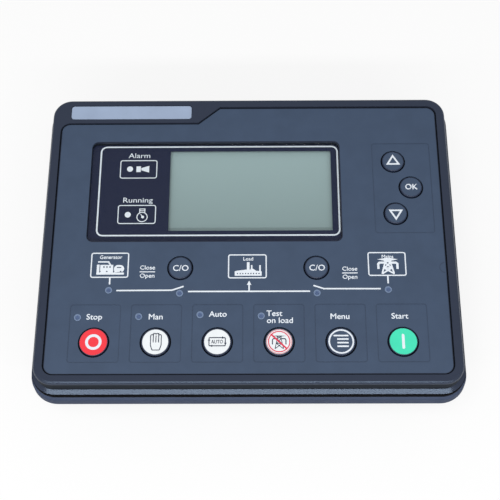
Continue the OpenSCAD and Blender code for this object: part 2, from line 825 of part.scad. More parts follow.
module display_board() {
    color("#2d6b3f") difference() {
        slab(z_board - board_t, z_board) square([board_w, board_h], center = true);
        slab(z_board - board_t - lap, z_board + lap) corner_cuts(boss_d / 2 + corner_gap);
        for (s = BOARD_SCREWS)
            translate(s) post(small_screw_d + 2 * hole_gap, z_board - board_t - lap, z_board + lap);
    }
}

module key_switches() {
    color("#22242a") for (k = KEYS) on_face(k[1], k[2]) difference() {
        slab(z_board, z_switch) square(switch_side, center = true);
        post(plunger_d + 2 * plunger_gap, z_switch - plunger_seat - key_travel - plunger_rest,
            z_switch + lap);
    }
}

module status_leds() {
    places = concat([for (l = LIGHTS) [l[1], l[2]]], SIDE_LIGHTS);
    color("#f3ecd2") for (p = places)
        on_face(p[0], p[1]) slab(z_board, z_board + chip_h) square([chip_l, chip_w], center = true);
}

module main_board() {
    color("#2d6b3f") difference() {
        slab(z_main, z_main_top) square([main_w, main_h], center = true);
        slab(z_main - lap, z_main_top + lap) corner_cuts(well_d / 2 + corner_gap);
        corners(shelf_boss[0], shelf_boss[1]) post(screw_d + 2 * hole_gap, z_main - lap, z_main_top + lap);
    }
}

// Connector stack between the two boards
module board_link() {
    color("#1c1e22") slab(z_main_top, z_board - board_t) square([link_l, link_w], center = true);
}

module relays() {
    color("#2a5f9e") for (i = [0:relays_n - 1])
        translate([(i - (relays_n - 1) / 2) * relay_pitch, relay_y, 0])
            slab(z_main_top, z_main_top + relay_h) round_rect(relay_l, relay_w, relay_r);
}

module capacitors() {
    color("#2b2f45") for (i = [0:caps_n - 1])
        translate([cap_edge - main_w / 2 + i * cap_pitch, lower_y, z_main_top]) difference() {
            cylinder(d = cap_d, h = cap_h);
            translate([0, 0, cap_crimp_z]) rotate_extrude() translate([cap_d / 2, 0]) circle(cap_crimp);
        }
}

module processor() {
    color("#1a1b1e") translate([processor_x, lower_y, 0])
        slab(z_main_top, z_main_top + processor_h) round_rect(processor_side, processor_side, processor_r);
}

// Length of a plug
function plug_l(p) = p[3] * way_pitch + 2 * plug_end;

// Outline of a plug's header on the main board
module header_outline(p, grow = 0) {
    translate([p[1], p[2] * plug_y])
        square([plug_l(p) + 2 * grow, header_inner + 2 * (header_wall + grow)], center = true);
}

// Outline of the space inside a header, grown by a gap
module nose_outline(p, grow = 0) {
    translate([p[1], p[2] * plug_y])
        square([plug_l(p) - 2 * (header_wall - grow), header_inner + 2 * grow], center = true);
}

module terminal_headers() {
    color("#3c8f4f") for (p = PLUGS) difference() {
        slab(z_plug, z_main) header_outline(p);
        slab(z_plug - lap, z_plug + header_depth) nose_outline(p);
    }
}

// Places of the terminals along a plug
function way_x(p, i) = p[1] + (i - (p[3] - 1) / 2) * way_pitch;

module terminal_plug(p) {
    y = p[2] * plug_y;
    color("#3c8f4f") difference() {
        union() {
            translate([p[1], y, 0])
                slab(plug_clear, z_plug) square([plug_l(p), plug_w], center = true);
            slab(z_plug - lap, z_plug + header_depth - nose_gap) nose_outline(p, -nose_gap);
        }
        for (i = [0:p[3] - 1]) {
            translate([way_x(p, i), y, 0])
                post(clamp_d + 2 * clamp_gap, 0, plug_clear + clamp_sink + clamp_h);
            translate([way_x(p, i), y + p[2] * (plug_w - entry_depth + lap) / 2, entry_z])
                cube([entry_w, entry_depth + lap, entry_h], center = true);
        }
    }
}

module terminal_screws() {
    z0 = plug_clear + clamp_sink;
    color("#c3c7cc") for (p = PLUGS) for (i = [0:p[3] - 1])
        translate([way_x(p, i), p[2] * plug_y, 0]) difference() {
            post(clamp_d, z0, z0 + clamp_h);
            translate([0, 0, z0]) cube([clamp_d + lap, slot_w, 2 * slot_d], center = true);
        }
}

module key_cap(k) {
    r = k[3] / 2;
    top = z_face + key_proud;
    color(k[4]) on_face(k[1], k[2]) {
        rotate_extrude() {
            translate([0, z_flange]) square([r, top - key_round - z_flange]);
            translate([0, z_flange]) square([r - key_round, top - z_flange]);
            translate([r - key_round, top - key_round]) circle(key_round);
            translate([0, z_flange]) square([r + key_guide + key_flange, key_flange_t]);
            translate([0, z_plunger]) square([key_stem_d / 2, z_flange - z_plunger + lap]);
        }
    }
}

module plunger(k) {
    color("#d8dade") on_face(k[1], k[2]) post(plunger_d, z_switch - plunger_seat, z_plunger);
}

// Light pipe with a raised edge round its dished top and a flange behind the plate
module light_pipe(l) {
    r = pipe_d / 2;
    low = z_board + chip_h + chip_gap;
    color("#8fa8d0") on_face(l[1], l[2]) rotate_extrude() polygon([
        [0, low], [r, low], [r, z_plate - pipe_flange_t], [r + pipe_flange, z_plate - pipe_flange_t],
        [r + pipe_flange, z_plate], [r, z_plate], [r, z_face], [r - pipe_edge, z_face],
        [r - pipe_edge - pipe_dish, z_face - pipe_dish], [0, z_face - pipe_dish]
    ]);
}

front_bezel();
fascia();
name_plate();
window_lens();
display_mask();
case_seal();
rear_case();
panel_gasket();
case_screws();
lcd_frame();
lcd_glass();
backlight();
display_board();
board_screws();
key_switches();
status_leds();
main_board();
main_board_screws();
board_link();
relays();
capacitors();
processor();
terminal_headers();
terminal_screws();
for (p = PLUGS) terminal_plug(p);
for (k = KEYS) key_cap(k);
for (k = KEYS) plunger(k);
for (l = LIGHTS) light_pipe(l);
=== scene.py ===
"""Looks of a panel-mounted generator-set controller that lies face up on its back.

The solids keep the places that the frame gives them. This script gives each of them its finish,
prints the legends on the face, and sets the camera, the floor and the lights. Lengths are in
millimetres unless a comment says otherwise, and MM turns them into metres. Places on the face are
measured across from the middle of the part, and up from the fascia's lower edge.
"""
import json
import math

import bmesh
import bpy
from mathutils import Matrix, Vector


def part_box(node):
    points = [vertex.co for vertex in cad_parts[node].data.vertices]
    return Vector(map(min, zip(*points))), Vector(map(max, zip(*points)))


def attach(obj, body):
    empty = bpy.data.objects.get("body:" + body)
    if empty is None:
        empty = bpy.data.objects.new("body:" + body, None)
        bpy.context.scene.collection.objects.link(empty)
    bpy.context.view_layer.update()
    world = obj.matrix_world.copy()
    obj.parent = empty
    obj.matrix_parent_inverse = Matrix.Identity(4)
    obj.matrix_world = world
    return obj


MM = 0.001
WHITE = (1, 1, 1, 1)

# Camera of the photograph: place in metres, turns in degrees, lens and sensor in millimetres
CAMERA_PLACE = (0.0060, -0.2182, 0.5355)
CAMERA_TURN = (23.32, 0.56, -0.18)
CAMERA_LENS = 76.98
CAMERA_SENSOR = 36

# Floor: half of its side in metres, and the share of plain white where it is looked at
FLOOR_REACH = 4
FLOOR_WHITE = 0.8

# Surround: strength of its light, and where its white part ends and how softly, both as the upright
# part of a direction of length one
SKY_STRENGTH = 0.35
BACKDROP_TOP = 0.25
BACKDROP_SOFT = 0.1

# Part of a noise value's range that is carried to a finish
NOISE_MIDDLE = (0.3, 0.7)

# Wall round the top of the case, which gets a duller roughness and a painted shade, a darker colour:
# depths of its upper and lower end below the top, its soft passage, and the roughness on it and elsewhere
WALL = (1.3, 8.4)
WALL_SOFT = 0.4
WALL_ROUGH = 0.9
CASE_ROUGH = 0.22

# Fascia: corner radius, and width and soft passage of the dark line of painted shade along its edge
FASCIA_ROUND = 4.5
FASCIA_SHADE_LINE = 0.3
LINE_SOFT = 0.1

# Window: corner radius of its lens, and width of the dark brink of painted shade round it, apart from its
# left side
WINDOW_ROUND = 2.75
WINDOW_SHADE_BRINK = 0.6

# Display: pitch of its dots and gap between them
DOT_PITCH = 0.62
DOT_GAP = 0.03

# Light pipes: radius at which the middle passes into the ring, and the soft passage
PIPE_RING = 1.1
PIPE_SOFT = 0.4

# Keys: colour of the dark edge, its soft passage, and how far the flange stands out beyond the cap
KEY_EDGE = "2a344b"
KEY_SOFT = 0.12
KEY_FLANGE = 1.3

# Rounding of the mouldings' edges, and the angle in degrees from which an edge counts as sharp
EDGE_ROUND = 0.15
EDGE_ANGLE = 35

# Ink: thickness, rise of each shape over the one before, weld distance and how bold the lettering is
INK = 0.03
LAYER = 0.002
WELD = 0.0005
BOLD = 0.016
THIN = 0.003

# Cap heights of the lettering
LABEL_CAP = 2.75
SMALL_CAP = 1.8
SIDE_CAP = 2.7
SWITCH_CAP = 2.1
AUTO_CAP = 1.75
KEY_CAP = 2.95

# Line widths and corner radii on the face
MIMIC_LINE = 0.75
BOX_LINE = 0.6
BOX_ROUND = 0.9
WINDOW_LINE = 0.8
WINDOW_LINE_ROUND = 3.0
MARK_LINE = 0.5
MARK_ROUND = 1.1
FIELD_SHADE_LINE = 0.35
FIELD_ROUND = 1.2

# Shallow fields pressed into the fascia, with lines of painted shade along their edges: edge between two
# of the lower row, their lowest and highest line, and the left, right, lowest and highest line of the
# field round the menu keys
FIELD_EDGE = 5.5
FIELD_ROW = (6.0, 34.9)
FIELD_NAV = (63.6, 92.8, 73.0, 123.2)

# Faint half ring at the right edge of the fascia, where it can be lifted
LIFT_PLACE = (96.7, 54.1)
LIFT_RADIUS = 2.7
LIFT_LINE = 0.55

# Supply boxes: how far picture and caption stand aside, and the caption's depth below the frame's top
BOX_ASIDE = 0.4
BOX_CAPTION = 2.1

# Breaker switches: half of the length and width of the bar, and how far the words are over and under it
SWITCH_BAR = (3.8, 0.25)
CLOSE_UP = 2.3
OPEN_DOWN = 2.0

# Marks beside the display: middle of the captions, and place across and radius of the lamp spots
CAPTION_X = -56.4
LAMP_X = -61.1
LAMP_RADIUS = 1.55

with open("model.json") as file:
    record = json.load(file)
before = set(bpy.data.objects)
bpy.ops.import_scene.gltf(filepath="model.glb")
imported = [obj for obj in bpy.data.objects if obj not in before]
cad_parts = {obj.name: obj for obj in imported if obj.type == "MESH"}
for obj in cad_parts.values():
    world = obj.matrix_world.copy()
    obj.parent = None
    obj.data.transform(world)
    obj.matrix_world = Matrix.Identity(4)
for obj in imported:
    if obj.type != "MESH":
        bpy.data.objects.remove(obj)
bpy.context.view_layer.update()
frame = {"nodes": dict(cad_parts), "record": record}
nodes = frame["nodes"]


# Colours and node trees


def colour(code):
    """Linear colour of a six-digit code."""
    parts = [int(code[i:i + 2], 16) / 255 for i in (0, 2, 4)]
    return [c / 12.92 if c <= 0.04045 else ((c + 0.055) / 1.055) ** 2.4 for c in parts] + [1]


def shade(code, factor):
    """Linear colour of a code, made darker or lighter by a factor."""
    return [min(1, c * factor) for c in colour(code)[:3]] + [1]


class Finish:
    """Material with one Principled shader, and the nodes that vary its colour, roughness and height."""

    def __init__(self, name, rough, specular=0.5, metal=0.0):
        self.material = bpy.data.materials.new(name)
        self.material.use_nodes = True
        self.tree = self.material.node_tree
        self.shader = self.tree.nodes["Principled BSDF"]
        self.shader.inputs["Roughness"].default_value = rough
        self.shader.inputs["Specular IOR Level"].default_value = specular
        self.shader.inputs["Metallic"].default_value = metal
        self.rough = rough
        self.place = self.add("ShaderNodeTexCoord").outputs["Object"]

    def add(self, kind, **settings):
        """New node with its settings."""
        node = self.tree.nodes.new(kind)
        for name, value in settings.items():
            setattr(node, name, value)
        return node

    def link(self, source, target):
        """Link from an output to an input."""
        self.tree.links.new(source, target)

    def noise(self, size, detail=3.0, stretch=(1, 1, 1)):
        """Noise whose spots are about size across; stretch makes them longer along an axis."""
        mapping = self.add("ShaderNodeMapping")
        mapping.inputs["Scale"].default_value = [1 / s for s in stretch]
        texture = self.add("ShaderNodeTexNoise")
        texture.inputs["Scale"].default_value = 1 / (size * MM)
        texture.inputs["Detail"].default_value = detail
        self.link(self.place, mapping.inputs["Vector"])
        self.link(mapping.outputs["Vector"], texture.inputs["Vector"])
        return texture.outputs["Fac"]

    def carry(self, value, low, high, start=0.0, end=1.0, passage="LINEAR"):
        """A value between start and end, carried to the range from low to high."""
        node = self.add("ShaderNodeMapRange", interpolation_type=passage)
        for name, number in (("From Min", start), ("From Max", end), ("To Min", low), ("To Max", high)):
            node.inputs[name].default_value = number
        self.link(value, node.inputs["Value"])
        return node.outputs["Result"]

    def spread(self, value, low, high):
        """The middle of a noise value, carried to a range."""
        return self.carry(value, low, high, *NOISE_MIDDLE)

    def step(self, value, edge, soft):
        """Zero below an edge and one above it, with a soft passage."""
        return self.carry(value, 0, 1, edge - soft, edge + soft, "SMOOTHSTEP")

    def blend(self, value, first, second):
        """Colour between two colours or colour sockets."""
        node = self.add("ShaderNodeMix", data_type="RGBA")
        self.link(value, node.inputs["Factor"])
        for name, source in (("A", first), ("B", second)):
            socket = next(s for s in node.inputs if s.name == name and s.type == "RGBA")
            if isinstance(source, list):
                socket.default_value = source
            else:
                self.link(source, socket)
        return next(s for s in node.outputs if s.type == "RGBA")

    def wander(self, code, size, change):
        """Colour that wanders a little about its code, in spots of a size."""
        value = self.spread(self.noise(size), 0, 1)
        return self.blend(value, shade(code, 1 - change), shade(code, 1 + change))

    def paint(self, socket):
        """Base colour from a colour socket."""
        self.link(socket, self.shader.inputs["Base Color"])
        return self

    def tones(self, code, size, change=0.06):
        """Base colour that wanders a little about its code."""
        return self.paint(self.wander(code, size, change))

    def gloss(self, size, change=0.06):
        """Roughness that wanders about its level."""
        value = self.spread(self.noise(size, 4), self.rough - change, self.rough + change)
        self.link(value, self.shader.inputs["Roughness"])
        return self

    def grain(self, size, depth, detail=2.0, stretch=(1, 1, 1)):
        """Bump of a given grain size and depth."""
        bump = self.add("ShaderNodeBump")
        bump.inputs["Strength"].default_value = 1
        bump.inputs["Distance"].default_value = depth * MM
        self.link(self.noise(size, detail, stretch), bump.inputs["Height"])
        self.link(bump.outputs["Normal"], self.shader.inputs["Normal"])
        return self

    def surface(self, share, first, second):
        """Surface mixed from two shaders by a share of the second."""
        mix = self.add("ShaderNodeMixShader")
        self.link(share, mix.inputs["Fac"])
        self.link(first, mix.inputs[1])
        self.link(second, mix.inputs[2])
        self.link(mix.outputs["Shader"], self.tree.nodes["Material Output"].inputs["Surface"])

    def vector_steps(self, steps):
        """The place after a row of vector operations, each with its operand."""
        value = self.place
        for operation, operand in steps:
            node = self.add("ShaderNodeVectorMath", operation=operation)
            node.inputs[1].default_value = operand
            self.link(value, node.inputs[0])
            value = node.outputs["Vector"]
        return value

    def across(self, centre):
        """Distance from an upright axis through a point, in millimetres."""
        flat = self.vector_steps([("MULTIPLY", (1 / MM, 1 / MM, 0))])
        offset = self.add("ShaderNodeVectorMath", operation="DISTANCE")
        offset.inputs[1].default_value = (centre.x / MM, centre.y / MM, 0)
        self.link(flat, offset.inputs[0])
        return offset.outputs["Value"]

    def from_core(self, low, high, r):
        """Distance from the core of a rounded rectangle, which is r on its outline, in millimetres."""
        middle, half = (low + high) / 2 / MM, (high - low) / 2 / MM
        beyond = self.vector_steps([
            ("MULTIPLY", (1 / MM, 1 / MM, 0)),
            ("SUBTRACT", (middle.x, middle.y, 0)),
            ("ABSOLUTE", (0, 0, 0)),
            ("SUBTRACT", (half.x - r, half.y - r, 0)),
            ("MAXIMUM", (0, 0, 0)),
        ])
        reach = self.add("ShaderNodeVectorMath", operation="LENGTH")
        self.link(beyond, reach.inputs[0])
        return reach.outputs["Value"]

    def along(self, axis):
        """Place along one axis, in metres."""
        place = self.add("ShaderNodeSeparateXYZ")
        self.link(self.place, place.inputs["Vector"])
        return place.outputs[axis]

    def from_level(self, level):
        """Distance above or below a level, in millimetres."""
        offset = self.add("ShaderNodeMath", operation="MULTIPLY_ADD")
        offset.inputs[1].default_value = 1 / MM
        offset.inputs[2].default_value = -level
        size = self.add("ShaderNodeMath", operation="ABSOLUTE")
        self.link(self.along("Z"), offset.inputs[0])
        self.link(offset.outputs["Value"], size.inputs[0])
        return size.outputs["Value"]


def middle_of(node):
    """Middle of a node's box, in metres."""
    low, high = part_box(node)
    return (low + high) / 2


# Finishes of the record's slots


def moulded(name, code, rough, grain=0.35, depth=0.02, specular=0.4):
    """Moulded plastic with a fine spark-eroded grain."""
    finish = Finish(name, rough, specular).tones(code, size=9, change=0.05)
    return finish.gloss(size=4, change=0.05).grain(grain, depth)


def case_plastic(name, code, wall_shade_code, sheen_code):
    """Smooth dark moulding with a blue sheen; on the wall round its top a duller roughness and a painted
    shade, a darker colour.
    """
    finish = Finish(name, CASE_ROUGH, specular=0.5)
    finish.shader.inputs["Specular Tint"].default_value = colour(sheen_code)
    upper, lower = [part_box("front_bezel")[1].z / MM - depth for depth in WALL]
    reach = finish.from_level((upper + lower) / 2)
    off_shaded_wall = finish.step(reach, (upper - lower) / 2, WALL_SOFT)
    face = finish.wander(code, size=9, change=0.02)
    # Painted shade: the wall round the top is given a darker colour, where it would lie in shade.
    finish.paint(finish.blend(off_shaded_wall, colour(wall_shade_code), face))
    finish.link(finish.carry(off_shaded_wall, WALL_ROUGH, CASE_ROUGH), finish.shader.inputs["Roughness"])
    return finish.grain(size=0.3, depth=0.003)


def fascia_plate(name, code, edge_code):
    """Moulded plate with painted shade: a dark line along its outer edge and a dark brink round the
    window.
    """
    finish = Finish(name, rough=0.5, specular=0.3)
    # The dark colour is painted shade: the shaded gap along the outer edge, and the shaded recess wall
    # round the window.
    dark = colour(edge_code)
    low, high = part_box("window_lens")
    # Painted shade along the top, right and bottom of the window, where its recess wall is shaded.
    low = low + Vector((WINDOW_SHADE_BRINK * MM, 0, 0))
    from_window = finish.from_core(low, high, WINDOW_ROUND)
    off_shaded_brink = finish.step(from_window, WINDOW_ROUND + WINDOW_SHADE_BRINK, LINE_SOFT)
    face = finish.blend(off_shaded_brink, dark, finish.wander(code, size=9, change=0.05))
    # Painted shade along the outer edge, where the gap to the bezel is shaded.
    from_middle = finish.from_core(*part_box("fascia"), FASCIA_ROUND)
    on_shaded_edge = finish.step(from_middle, FASCIA_ROUND - FASCIA_SHADE_LINE, LINE_SOFT)
    finish.paint(finish.blend(on_shaded_edge, face, dark))
    return finish.gloss(size=4, change=0.05).grain(size=0.28, depth=0.014)


def metal(name, code, rough, stretch):
    """Plated or drawn metal with fine lines along its stretch."""
    finish = Finish(name, rough, specular=0.5, metal=1.0).tones(code, size=3, change=0.08)
    return finish.gloss(size=2, change=0.08).grain(size=0.2, depth=0.006, detail=3, stretch=stretch)


def board(name, code):
    """Solder resist over tracks that run in straight bands."""
    finish = Finish(name, rough=0.32)
    width, stretch = 1.4, (1, 9, 1)
    tracks = finish.spread(finish.noise(width, 1, stretch), 0, 1)
    finish.paint(finish.blend(tracks, shade(code, 0.8), shade(code, 1.25)))
    return finish.gloss(size=3).grain(width, depth=0.03, detail=1, stretch=stretch)


def plate(name, code):
    """Anodised plate, brushed along its length."""
    finish = Finish(name, rough=0.4, specular=0.4).tones(code, size=14).gloss(size=5)
    return finish.grain(size=0.5, depth=0.006, detail=3, stretch=(30, 1, 1))


def film(name, code):
    """Smooth film of one colour."""
    finish = Finish(name, rough=0.45, specular=0.2).tones(code, size=20, change=0.04)
    return finish.gloss(size=8, change=0.03).grain(size=0.4, depth=0.003)


def rubber(name, code):
    """Dull rubber with a coarse skin."""
    finish = Finish(name, rough=0.85, specular=0.05).tones(code, size=4, change=0.15)
    return finish.gloss(size=2, change=0.08).grain(size=0.5, depth=0.03)


def display(name, code):
    """Unlit display behind a faint grid of dots, with a painted shade that makes it darker towards its
    bottom.
    """
    finish = Finish(name, rough=0.42, specular=0.35)
    low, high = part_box("lcd_glass")
    # Painted shade: the display is darker towards its bottom.
    painted_shade_climb = finish.carry(finish.along("Y"), 0, 1, low.y, high.y)
    painted_shade_tone = finish.blend(painted_shade_climb, shade(code, 0.7), shade(code, 1.12))
    dots = finish.add("ShaderNodeTexBrick", offset=0.0, squash=1.0)
    dots.inputs["Scale"].default_value = 1 / MM
    dots.inputs["Brick Width"].default_value = DOT_PITCH
    dots.inputs["Row Height"].default_value = DOT_PITCH
    dots.inputs["Mortar Size"].default_value = DOT_GAP
    finish.link(finish.place, dots.inputs["Vector"])
    finish.paint(finish.blend(dots.outputs["Fac"], painted_shade_tone, shade(code, 0.93)))
    return finish.gloss(size=20, change=0.03).grain(size=0.6, depth=0.002)


def lens(name):
    """Clear sheet: it mirrors by its angle and lets the rest of the light through."""
    finish = Finish(name, rough=0.06)
    clear = finish.add("ShaderNodeBsdfTransparent")
    clear.inputs["Color"].default_value = (0.97, 0.98, 0.98, 1)
    mirror = finish.add("ShaderNodeBsdfGlossy")
    smudge = finish.spread(finish.noise(size=14, detail=4), 0.03, 0.1)
    finish.link(smudge, mirror.inputs["Roughness"])
    angle = finish.add("ShaderNodeLayerWeight")
    steep = finish.add("ShaderNodeMath", operation="POWER")
    steep.inputs[1].default_value = 5
    finish.link(angle.outputs["Facing"], steep.inputs[0])
    share = finish.carry(steep.outputs["Value"], 0.02, 0.9)
    finish.surface(share, clear.outputs["BSDF"], mirror.outputs["BSDF"])
    finish.tree.nodes.remove(finish.shader)
    return finish


def key_face(name, code, edge_code, centre, radius):
    """Key cap with a coloured disc inside a dark edge."""
    finish = Finish(name, rough=0.38, specular=0.4)
    rim = finish.step(finish.across(centre), radius, KEY_SOFT)
    finish.paint(finish.blend(rim, finish.wander(code, size=5, change=0.03), colour(edge_code)))
    return finish.gloss(size=3).grain(size=0.3, depth=0.008)


def light_pipe(name, ring_code, middle_code, centre):
    """Tinted light pipe: a darker middle and a paler ring."""
    finish = Finish(name, rough=0.25)
    outer = finish.step(finish.across(centre), PIPE_RING, PIPE_SOFT)
    middle = finish.wander(middle_code, size=1.2, change=0.08)
    finish.paint(finish.blend(outer, middle, colour(ring_code)))
    return finish.gloss(size=1).grain(size=0.4, depth=0.01)


def print_ink(name, code, change, rough=0.5):
    """Printed ink with a fine tooth."""
    finish = Finish(name, rough, specular=0.3).tones(code, 2, change)
    return finish.gloss(size=1.5).grain(size=0.25, depth=0.008)


FINISHES = {
    # Its wall code is a painted shade on the wall round the top of the case.
    "case_black": lambda: case_plastic("case_black", "333949", "0c0d12", "cbe3ff"),
    "rear_grey": lambda: moulded("rear_grey", "4b556c", 0.55, depth=0.012, specular=0.05),
    # Its edge code is the painted shade along the fascia's edge and round the window.
    "fascia_blue": lambda: fascia_plate("fascia_blue", "42526a", "252d3f"),
    "name_plate": lambda: plate("name_plate", "a3b4cf"),
    "window_clear": lambda: lens("window_clear"),
    "mask_navy": lambda: film("mask_navy", "1b2340"),
    "seal_rubber": lambda: rubber("seal_rubber", "0b0b0e"),
    "steel": lambda: metal("steel", "9aa0a8", 0.35, stretch=(1, 1, 8)),
    "tin": lambda: metal("tin", "b9bdc2", 0.3, stretch=(12, 1, 1)),
    "lcd": lambda: display("lcd", "a3b8b9"),
    "diffuser": lambda: moulded("diffuser", "e9ecec", 0.6),
    "board_green": lambda: board("board_green", "2d6b3f"),
    "component_black": lambda: moulded("component_black", "22242a", 0.5),
    "relay_blue": lambda: moulded("relay_blue", "2a5f9e", 0.3),
    "capacitor": lambda: moulded("capacitor", "2b2f45", 0.25, grain=0.8, depth=0.01),
    "chip_amber": lambda: moulded("chip_amber", "f3ecd2", 0.2, grain=0.5, depth=0.005),
    "terminal_green": lambda: moulded("terminal_green", "3c8f4f", 0.45, grain=0.4),
    "plunger_grey": lambda: moulded("plunger_grey", "d8dade", 0.45),
}

INKS = {
    "key_white": print_ink("white_ink", "ecf3fb", 0.04),
    "key_red": print_ink("red_ink", "e23a55", 0.04, rough=0.45),
    "component_black": print_ink("dark_ink", "3a4254", 0.06),
    # The darker fascia ink prints the pictograms' openings, and paints shade along the edges of the
    # shallow fields.
    "fascia_blue": print_ink("fascia_ink_and_shade", "3b495f", 0.06),
}

# Key faces: colour, and width of the dark edge round it
KEY_FACES = {
    "key_white": ("f2f7fa", 0.7),
    "key_red": ("f93c48", 0.35),
    "key_green": ("47e6bc", 0.4),
    "key_blue": ("42526a", 0.5),
}

made = {}


def finish_for(node, slot):
    """Material of a node, shared by its slot unless its pattern is set out from its own middle."""
    if slot == "light_blue":
        return light_pipe(node, "788ba9", "54678c", middle_of(node))
    if slot in KEY_FACES:
        code, edge = KEY_FACES[slot]
        low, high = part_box(node)
        cap = (high.x - low.x) / MM / 2 - KEY_FLANGE
        return key_face(node, code, KEY_EDGE, middle_of(node), cap - edge)
    if slot not in made:
        made[slot] = FINISHES[slot]()
    return made[slot]


for part in frame["record"]["subparts"]:
    data = nodes[part["node"]].data
    data.materials.clear()
    data.materials.append(finish_for(part["node"], part["material_slot"]).material)


# Shapes for printing, each a list of points in millimetres


def arc(x, y, r, start, end, steps=8):
    """Points round a centre from one angle to another."""
    turns = [math.radians(start + (end - start) * i / steps) for i in range(steps + 1)]
    return [(x + r * math.cos(t), y + r * math.sin(t)) for t in turns]


def disc(x, y, r):
    """Filled circle."""
    return [arc(x, y, r, 0, 360, 40)[:-1]]


def box_shape(x0, x1, y0, y1):
    """Filled rectangle."""
    return [[(x0, y0), (x1, y0), (x1, y1), (x0, y1)]]


def round_path(x0, x1, y0, y1, r):
    """Points round a rectangle with rounded corners."""
    corners = [(x1 - r, y1 - r, 0), (x0 + r, y1 - r, 90), (x0 + r, y0 + r, 180), (x1 - r, y0 + r, 270)]
    return [p for x, y, turn in corners for p in arc(x, y, r, turn, turn + 90)]


def stroke(points, width, closed=False):
    """Line of even width along points, as one four-sided shape for each stretch."""
    path = [Vector(p) for p in points]
    count = len(path)
    left, right = [], []
    for i, point in enumerate(path):
        into = (point - path[i - 1]).normalized() if closed or i > 0 else None
        out = (path[(i + 1) % count] - point).normalized() if closed or i < count - 1 else None
        into = into or out
        out = out or into
        across_in = Vector((-into.y, into.x))
        across_out = Vector((-out.y, out.x))
        mitre = (across_in + across_out) / (1 + across_in.dot(across_out)) * width / 2
        left.append(tuple(point + mitre))
        right.append(tuple(point - mitre))
    ends = range(count if closed else count - 1)
    return [[left[i], right[i], right[(i + 1) % count], left[(i + 1) % count]] for i in ends]


def ring(x, y, r, width):
    """Circle drawn with a line."""
    return stroke(arc(x, y, r, 0, 360, 48)[:-1], width, True)


def round_box(x0, x1, y0, y1, r, width):
    """Rounded rectangle drawn with a line."""
    return stroke(round_path(x0, x1, y0, y1, r), width, True)


def bar(start, end, width):
    """Straight line with round ends."""
    turn = math.degrees(math.atan2(end[1] - start[1], end[0] - start[0]))
    r = width / 2
    return [arc(*start, r, turn + 90, turn + 270) + arc(*end, r, turn - 90, turn + 90)]


def shifted(shapes, dx, dy):
    """Shapes moved by a distance."""
    return [[(dx + x, dy + y) for x, y in shape] for shape in shapes]


def letter_mesh(text):
    """Flat mesh of a line of lettering of size one, centred across."""
    curve = bpy.data.curves.new("lettering", "FONT")
    curve.body = text
    curve.align_x = "CENTER"
    curve.resolution_u = 3
    holder = bpy.data.objects.new("lettering", curve)
    bpy.context.scene.collection.objects.link(holder)
    depsgraph = bpy.context.evaluated_depsgraph_get()
    mesh = bpy.data.meshes.new_from_object(holder.evaluated_get(depsgraph))
    bpy.data.objects.remove(holder)
    bpy.data.curves.remove(curve)
    return mesh


# Height of a capital in lettering of size one
CAP_SHARE = max(v.co.y for v in letter_mesh("H").vertices)


def words(text, x, y, cap, bold=BOLD, wide=1.05):
    """Shapes of a line of lettering with capitals of a given height and width, centred on a point.

    The line is printed twice, moved apart by a little, which makes its strokes bolder.
    """
    mesh = letter_mesh(text)
    size = cap / CAP_SHARE
    shapes = []
    for move in (-bold, bold):
        across, up = x + size * move, y + size * (move - CAP_SHARE / 2)
        points = [(across + wide * size * v.co.x, up + size * v.co.y) for v in mesh.vertices]
        shapes += [[points[i] for i in face.vertices] for face in mesh.polygons]
    bpy.data.meshes.remove(mesh)
    return shapes


# Printing on a surface


def level_under(node, x, y):
    """Height of a node's surface below a point above it, in metres."""
    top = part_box(node)[1].z
    hit, place, _, _ = nodes[node].ray_cast(Vector((x * MM, y * MM, top + MM)), Vector((0, 0, -1)))
    return place.z if hit else top


def islands(mesh):
    """Groups of faces that share corners."""
    groups, seen = [], set()
    for face in mesh.faces:
        if face in seen:
            continue
        seen.add(face)
        group = [face]
        for member in group:
            fresh = {f for corner in member.verts for f in corner.link_faces} - seen
            seen |= fresh
            group += fresh
        groups.append(group)
    return groups


def ink(name, shapes, node, slot, origin, body, rise=0.0):
    """Prints shapes on a node, from an origin on its face, as a thin piece that rides on a body."""
    xs = [x for shape in shapes for x, _ in shape]
    ys = [y for shape in shapes for _, y in shape]
    middle = (origin[0] + (min(xs) + max(xs)) / 2, origin[1] + (min(ys) + max(ys)) / 2)
    level = level_under(node, *middle) + rise * MM
    mesh = bmesh.new()
    for shape in shapes:
        corners = [((origin[0] + x) * MM, (origin[1] + y) * MM, level) for x, y in shape]
        mesh.faces.new([mesh.verts.new(corner) for corner in corners])
    bmesh.ops.remove_doubles(mesh, verts=mesh.verts, dist=WELD * MM)
    for order, island in enumerate(islands(mesh)):
        grown = bmesh.ops.extrude_face_region(mesh, geom=island)["geom"]
        risen = [g for g in grown if isinstance(g, bmesh.types.BMVert)]
        bmesh.ops.translate(mesh, verts=risen, vec=(0, 0, (INK + order * LAYER) * MM))
    bmesh.ops.recalc_face_normals(mesh, faces=mesh.faces)
    data = bpy.data.meshes.new(name)
    mesh.to_mesh(data)
    mesh.free()
    data.materials.append(INKS[slot].material)
    piece = bpy.data.objects.new(name, data)
    bpy.context.scene.collection.objects.link(piece)
    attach(piece, body)


# Pictograms, set out about their own middle


def share_box(width, height, x0, x1, y0, y1):
    """Rectangle by shares of a pictogram's width and height, from its lower left corner."""
    left, low = -width / 2, -height / 2
    return box_shape(left + x0 * width, left + x1 * width, low + y0 * height, low + y1 * height)


